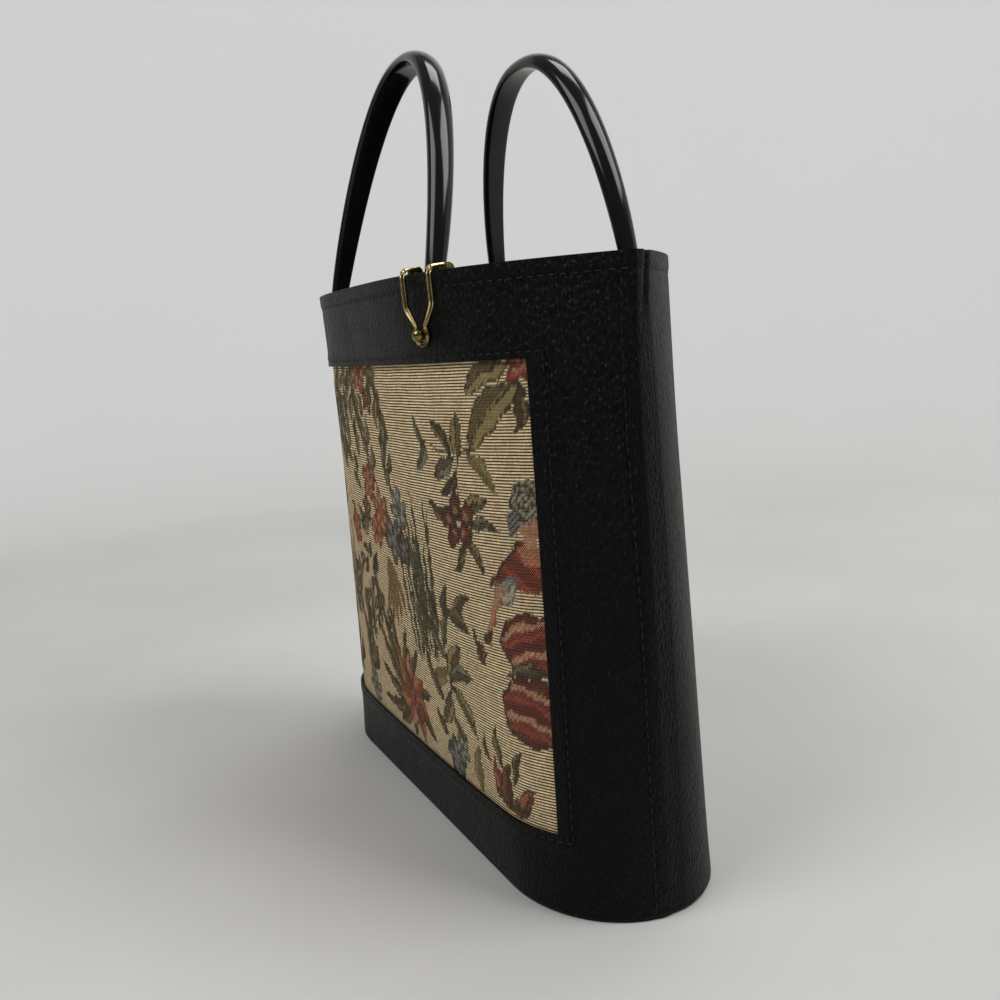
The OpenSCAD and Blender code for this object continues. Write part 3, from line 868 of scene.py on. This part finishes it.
cotton = shader("lining_cotton", (0.02, 0.02, 0.019), 0.85, specular=0.15)
cut = on_cut(cotton)
split = add(cotton, "SeparateXYZ", {"Vector": cut}).outputs
warp = maths(cotton, "SINE", maths(cotton, "MULTIPLY", split["X"], 2 * math.pi / cotton_pitch))
weft = maths(cotton, "SINE", maths(cotton, "MULTIPLY", split["Y"], 2 * math.pi / cotton_pitch))
emboss(cotton, maths(cotton, "MULTIPLY", warp, weft), 0.4, 0.0002)
faded = speckle(cotton, cut, 25.0, 4.0)
feed(cotton, "Base Color", tint(cotton, faded, (0.012, 0.0118, 0.0112), (0.032, 0.031, 0.029)))
feed(cotton, "Sheen Weight", 0.2)

lining_rows = ladder((lining_low.z + 0.6 * MM, lining_high.z + 1.5 * MM, 40))
mesh = grid_mesh(girth_at[::-1], lining_rows, lining_point, lambda k, z: (girth[k], z), seam_weld)
lining = new_piece("lining_walls", mesh, cotton)
thicken(lining, 0.4 * MM)
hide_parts("lining")


def lining_floor_point(s, across):
    edge = wall_point(s, lining_low.z, lining_inset, BACK)
    return Vector((edge.x, across * edge.y, lining_low.z + 0.5 * MM))


mesh = grid_mesh(base_cols, base_rows, lining_floor_point, flat_base, seam_weld)
lining_floor = new_piece("lining_floor", mesh, cotton)
thicken(lining_floor, 0.3 * MM)

# Facing: the same vinyl, turned over the rim and sewn down inside as a band.
# It hides the plates of the handles, whose ears come through it.
facing_path = [(1.75, -1.6), (1.8, -0.5), (2.05, 0.05), (2.5, 0.25), (2.95, 0.2), (3.35, -0.2), (3.55, -1.0)]
facing_path += [(3.55, -3.0 - 1.5 * k) for k in range(16)] + [(3.5, -27.4), (3.3, -27.8), (2.95, -27.9)]
facing_path = facing_path[::-1]


def facing_point(k, j):
    s, side = ring_cols[k]
    inset, up = facing_path[j]
    sewn = -0.25 * hump(up + 7, 1.0)
    return wall_point(s, body_height + up * MM, (inset + sewn) * MM, side)


mesh = grid_mesh(
    girth_at[::-1], list(range(len(facing_path))), facing_point,
    lambda k, j: (girth[k], facing_path[j][1] * MM), seam_weld,
)
facing = new_piece("rim_facing_fold", mesh, grained_vinyl)
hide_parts("rim_facing")

# Handle anchors: formed steel plates behind the facing, each with two ears for a pin.
# The solids are right as they stand, so they only get their finish.
steel = shader("plated_steel", (0.42, 0.42, 0.41), 0.35, metallic=1.0)
brushing = speckle(steel, stretch(steel, in_place(steel), (300, 3000, 3000)), 1.0, 3.0)
feed(steel, "Roughness", remap(steel, brushing, 0.25, 0.5))
feed(steel, "Base Color", tint(steel, brushing, (0.30, 0.30, 0.29), (0.52, 0.52, 0.51)))
dress(steel, "front_left_anchor", "front_right_anchor", "back_left_anchor", "back_right_anchor")
dress(steel, "handle_pins", "stud_washer")

# Handles: two moulded loops of glossy black plastic, flat on the inside of the loop and round outside.
# Each foot turns on a pin behind the rim.
joints = {joint["name"]: joint for joint in frame["joints"]}
leg_x = 76 * MM
handle_rise = 123 * MM
handle_w = 14.5 * MM
leg_w = 6.5 * MM
handle_t = 7 * MM
arch_across, arch_up, leg_flare = 2.2, 1.8, 0.5
section_edge = 0.3 * handle_t
fine_weld = 0.005 * MM
front_lean, back_lean = math.radians(-12.5), math.radians(6)


def arch_point(a):
    x = math.copysign(leg_x * abs(math.sin(a)) ** (2 / arch_across), a)
    return Vector((x, 0, (handle_rise - handle_t / 2) * max(0, math.cos(a)) ** (2 / arch_up)))


def loop_point(turn, mark):
    """A point of the loop: turn goes round the section, mark runs from foot to foot and past the pins."""
    a = max(-math.pi / 2, min(math.pi / 2, mark))
    past = abs(mark - a)
    spot, step = arch_point(a), 0.002
    heading = (arch_point(min(math.pi / 2, a + step)) - arch_point(max(-math.pi / 2, a - step))).normalized()
    heading = blend(heading, Vector((0, 0, -math.copysign(1, a))), ease(1.50, 1.57, abs(a))).normalized()
    wide = blend(leg_w, handle_w, max(0, math.cos(a)) ** leg_flare) / 2
    c, d = math.cos(turn), math.sin(turn)
    out = section_edge - handle_t / 2
    out += (handle_t - section_edge) * d if d > 0 else -section_edge * (-d) ** 0.4
    spot = spot + Vector((-heading.z * out, 0, heading.x * out))
    spot.y = wide * c * math.cos(past)
    spot.z -= wide * math.sin(past)
    return spot


plastic = shader("moulded_plastic", (0.004, 0.004, 0.0042), 0.16, specular=0.36)
coords = in_place(plastic)
hazy = speckle(plastic, coords, 120.0, 5.0)
feed(plastic, "Roughness", remap(plastic, hazy, 0.07, 0.2))
emboss(plastic, speckle(plastic, coords, 45.0, 1.0), 0.12, 0.001)
feed(plastic, "Base Color", tint(plastic, hazy, (0.003, 0.003, 0.0032), (0.007, 0.007, 0.0072)))

section_turns = [2 * math.pi * k / 28 for k in range(29)]
half_turn = math.pi / 2
loop_marks = [-2 * half_turn + half_turn * k / 6 for k in range(6)]
loop_marks += [-half_turn + 2 * half_turn * k / 96 for k in range(97)]
loop_marks += [half_turn + half_turn * (k + 1) / 6 for k in range(6)]
for body, lean in (("front_handle", front_lean), ("back_handle", back_lean)):
    mesh = grid_mesh(section_turns, loop_marks, loop_point, lambda turn, mark: (turn, mark), fine_weld)
    bmesh.ops.recalc_face_normals(mesh, faces=mesh.faces)
    hinge = Matrix.Translation(joints[body + "_swing"]["pos_m"]) @ Matrix.Rotation(lean, 4, "X")
    bmesh.ops.transform(mesh, matrix=hinge, verts=mesh.verts)
    handle = new_piece(body + "_loop", mesh, plastic, body)
    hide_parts(body)

# Clasp: a wishbone of gilt strip with a raised rail along each edge, hung on two stub pins inside the rim.
# Its ring drops over a ball stud that is riveted through the front panel.
clasp_joint = joints["clasp_swing"]
along_rim = -Vector(clasp_joint["axis"])
clasp_tilt = math.radians(2.66337)
into_bag = Vector((-along_rim.y, along_rim.x, 0))
up_wall = Vector((0, 0, 1))
into_bag, up_wall = (
    into_bag * math.cos(clasp_tilt) + up_wall * math.sin(clasp_tilt),
    up_wall * math.cos(clasp_tilt) - into_bag * math.sin(clasp_tilt),
)
stub_y, stub_z = 7.05883 * MM, 0.6 * MM
arm_x, arm_w, arm_t = 9.75 * MM, 3.1 * MM, 1.6 * MM
clasp_drop, arm_straight = 26.5 * MM, 14 * MM
ring_mid, ring_w = 4.45 * MM, 1.7 * MM
curl_r = 1.25 * MM + arm_t / 2
clasp_place = Vector(clasp_joint["pos_m"]) - into_bag * stub_y - up_wall * stub_z
strip_section = [
    (-1, 0), (-1, 0.75), (-0.94, 0.95), (-0.82, 1), (-0.7, 0.95), (-0.62, 0.45), (0.62, 0.45), (0.7, 0.95),
    (0.82, 1), (0.94, 0.95), (1, 0.75), (1, 0), (0, 0), (-1, 0),
]


def half_path():
    """The middle of the strip from the curl on a stub pin to the foot of the ring: place, side, width."""
    marks = []
    face = -0.4 * MM - arm_t / 2
    for k in range(13):
        a = math.radians(-150 + 240 * k / 12)
        marks.append(((arm_x, stub_y + curl_r * math.cos(a), stub_z + curl_r * math.sin(a)), arm_w))
    bend_y, bend_z, bend_r = 1.0 * MM, 0.0 * MM, 1.0 * MM - face
    marks.append(((arm_x, blend(stub_y, bend_y, 0.5), blend(stub_z + curl_r, bend_z + bend_r, 0.6)), arm_w))
    for k in range(7):
        a = math.radians(90 + 90 * k / 6)
        marks.append(((arm_x, bend_y + bend_r * math.cos(a), bend_z + bend_r * math.sin(a)), arm_w))
    for share in (0.25, 0.5, 0.75, 0.94):
        marks.append(((arm_x, face, -arm_straight * share), arm_w))
    neck = (ring_mid * math.sin(math.radians(42)), ring_mid * math.cos(math.radians(42)) - clasp_drop)
    for k in range(7):
        share = 0.06 + 0.86 * k / 6
        spot = (blend(arm_x, neck[0], share), face, blend(-arm_straight, neck[1], share))
        marks.append((spot, blend(arm_w, ring_w, share)))
    for k in range(15):
        a = math.radians(48 - 138 * k / 14)
        marks.append(((ring_mid * math.cos(a), face, ring_mid * math.sin(a) - clasp_drop), ring_w))
    return marks


right_half = half_path()
strip_path = right_half + [((-x, y, z), wide) for (x, y, z), wide in right_half[-2::-1]]


def strip_point(j, k):
    """A point of the strip: j goes round its section, k runs along the wishbone."""
    spot, wide = strip_path[k]
    before, after = strip_path[max(0, k - 1)][0], strip_path[min(len(strip_path) - 1, k + 1)][0]
    heading = (Vector(after) - Vector(before)).normalized()
    face_out = Vector((0, -1, 0))
    if abs(heading.y) > 0.02:
        side = Vector((1, 0, 0)) * (1 if k < len(strip_path) / 2 else -1)
        face_out = heading.cross(side) * -1
    else:
        side = face_out.cross(heading)
    across, high = strip_section[j]
    return Vector(spot) + side * (across * wide / 2) + face_out * ((high - 0.5) * arm_t)


def gilt_finish(name, rubbed, bright):
    """Gilding that is worn darker in patches, with painted shade that darkens the groove of the strip."""
    made = shader(name, bright, 0.22, metallic=1.0)
    coords = in_place(made)
    wear = speckle(made, coords, 420.0, 5.0)
    feed(made, "Roughness", remap(made, wear, 0.08, 0.24))
    tone = tint(made, wear, rubbed, bright, (0.3, 0.65))
    across = add(made, "SeparateXYZ", {"Vector": on_cut(made)}).outputs["X"]
    # Painted shade: the groove between the two rails is darkened towards a dark olive.
    from_middle = maths(made, "ABSOLUTE", maths(made, "SUBTRACT", across, 5.5))
    painted_groove_shade = remap(made, from_middle, 1.0, 0.0, 0.55, 1.0)
    feed(made, "Base Color", mix(made, painted_groove_shade, tone, (0.075, 0.06, 0.022, 1)))
    emboss(made, speckle(made, coords, 900.0, 2.0), 0.12, 0.0002)
    return made


gilt = gilt_finish("worn_gilt", (0.42, 0.30, 0.11), (0.86, 0.67, 0.34))
# A darker copy of the same gilt: painted shade on the clasp bracket and the ball stud.
shaded_gilt = gilt_finish("shaded_gilt", (0.10, 0.075, 0.025), (0.34, 0.25, 0.09))
round_section, along_path = list(range(len(strip_section))), list(range(len(strip_path)))
mesh = grid_mesh(round_section, along_path, strip_point, lambda j, k: (j, k), fine_weld)
bmesh.ops.holes_fill(mesh, edges=[edge for edge in mesh.edges if edge.is_boundary])
bmesh.ops.recalc_face_normals(mesh, faces=mesh.faces)
on_rim = Matrix((along_rim, into_bag, up_wall)).transposed().to_4x4()
on_rim.translation = clasp_place
bmesh.ops.transform(mesh, matrix=on_rim, verts=mesh.verts)
clasp = new_piece("clasp_wishbone", mesh, gilt, "clasp")
smooth = clasp.modifiers.new("smooth", "SUBSURF")
smooth.levels = smooth.render_levels = 1
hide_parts("clasp")
dress(shaded_gilt, "clasp_bracket", "ball_stud")

# Studio: a pale floor that curves up into a wall behind the bag, and three soft lamps.
# The open side stays dim, so that the near face of the vinyl keeps its black.
# Away from the bag the paper fades into the plain pale air, for the camera alone.
studio = shader("pale_paper", (0.74, 0.735, 0.715), 0.9, specular=0.1)
coords = in_place(studio)
height = add(studio, "SeparateXYZ", {"Vector": coords}).outputs["Z"]
# Painted light: the paper's colour grows lighter as it rises from the floor into the wall, on top of its
# random mottle.
painted_wall_light = remap(studio, height, -0.1, 0.6, from_high=0.5)
paper_and_wall_light = maths(studio, "MULTIPLY_ADD", speckle(studio, coords, 3.0, 3.0), 0.4, painted_wall_light)
tone = tint(studio, paper_and_wall_light, (0.50, 0.497, 0.483), (0.88, 0.875, 0.855))
air_colour, air_strength, air_light = (0.98, 0.99, 0.98, 1), 0.63, 0.16
away = add(studio, "VectorMath", {0: coords}, operation="LENGTH").outputs["Value"]
far = remap(studio, away, 0.0, 0.9, 0.55, 1.7, interpolation_type="SMOOTHSTEP")
seen = add(studio, "LightPath", {}).outputs["Is Camera Ray"]
faded = maths(studio, "MULTIPLY", far, seen)
feed(studio, "Base Color", mix(studio, faded, tone, (0, 0, 0, 1)))
feed(studio, "Emission Strength", maths(studio, "MULTIPLY", faded, air_strength))
feed(studio, "Emission Color", air_colour)
cove_r, cove_bend, cove_top = 1.6, 0.4, 2.2
cove_profile = [(0.001, 0), (0.6, 0), (cove_r - cove_bend, 0)]
for k in range(1, 13):
    a = math.radians(90 * k / 12)
    cove_profile.append((cove_r - cove_bend + cove_bend * math.sin(a), cove_bend - cove_bend * math.cos(a)))
cove_profile.append((cove_r, cove_top))
floor_profile = [(0.001, 0), (0.6, 0), (1.2, 0), (2.4, 0)]


def studio_piece(name, profile, first, last):
    """A sheet spun round the upright axis, between two bearings in degrees."""
    bearings = [math.radians(first + (last - first) * k / 48) for k in range(49)]
    mesh = grid_mesh(
        bearings, profile, lambda a, spot: Vector((spot[0] * math.cos(a), spot[0] * math.sin(a), spot[1])),
        lambda a, spot: (a, spot[1]),
    )
    bmesh.ops.recalc_face_normals(mesh, faces=mesh.faces)
    put_in_scene(name, mesh, studio)


studio_piece("studio_cove", cove_profile, 50, 215)
studio_piece("studio_floor", floor_profile, 215, 410)

world = bpy.data.worlds.new("studio")
bpy.context.scene.world = world
world.use_nodes = True
feed(world, "Color", air_colour, "Background")
seen = add(world, "LightPath", {}).outputs["Is Camera Ray"]
feed(world, "Strength", remap(world, seen, air_light, air_strength), "Background")


def lamp(name, place, target, size, power):
    light = bpy.data.lights.new(name, "AREA")
    light.shape = "RECTANGLE"
    light.size = light.size_y = size
    light.energy = power
    made = bpy.data.objects.new(name, light)
    made.location = place
    made.rotation_euler = (Vector(target) - Vector(place)).to_track_quat("-Z", "Y").to_euler()
    bpy.context.scene.collection.objects.link(made)


lamp("right_softbox", (0.75, 0.75, 1.35), (0, 0, 0.12), 0.9, 15)
lamp("front_softbox", (0.2, -1.05, 1.2), (0.03, 0, 0.16), 0.9, 11)
lamp("wall_wash", (-0.3, 0.5, 1.9), (-1.0, 0.7, 0.3), 0.8, 10)

# Camera: at the photo's own distance, height and tilt,
# so that the bag stands in the picture as it does there.
photo_focal, photo_width, film_width = 1041.9, 1000, 36
camera_place = Vector((0.51072, -0.22384, 0.24475))
camera_azimuth = math.radians(65.6179)
camera_pitch = math.radians(8.5534)
camera_roll = math.radians(-3.9327)
ahead = Vector((
    -math.sin(camera_azimuth) * math.cos(camera_pitch),
    math.cos(camera_azimuth) * math.cos(camera_pitch),
    -math.sin(camera_pitch),
))
level = Vector((math.cos(camera_azimuth), math.sin(camera_azimuth), 0))
upright = level.cross(ahead)
right = math.cos(camera_roll) * level + math.sin(camera_roll) * upright
above = math.cos(camera_roll) * upright - math.sin(camera_roll) * level
lens = bpy.data.cameras.new("photo_view")
lens.sensor_width = film_width
lens.lens = film_width * photo_focal / photo_width
lens.clip_start = 0.01
camera = bpy.data.objects.new("photo_view", lens)
camera.matrix_world = Matrix((
    (right.x, above.x, -ahead.x, camera_place.x),
    (right.y, above.y, -ahead.y, camera_place.y),
    (right.z, above.z, -ahead.z, camera_place.z),
    (0, 0, 0, 1),
))
bpy.context.scene.collection.objects.link(camera)
bpy.context.scene.camera = camera
bpy.context.scene.view_settings.view_transform = "Standard"
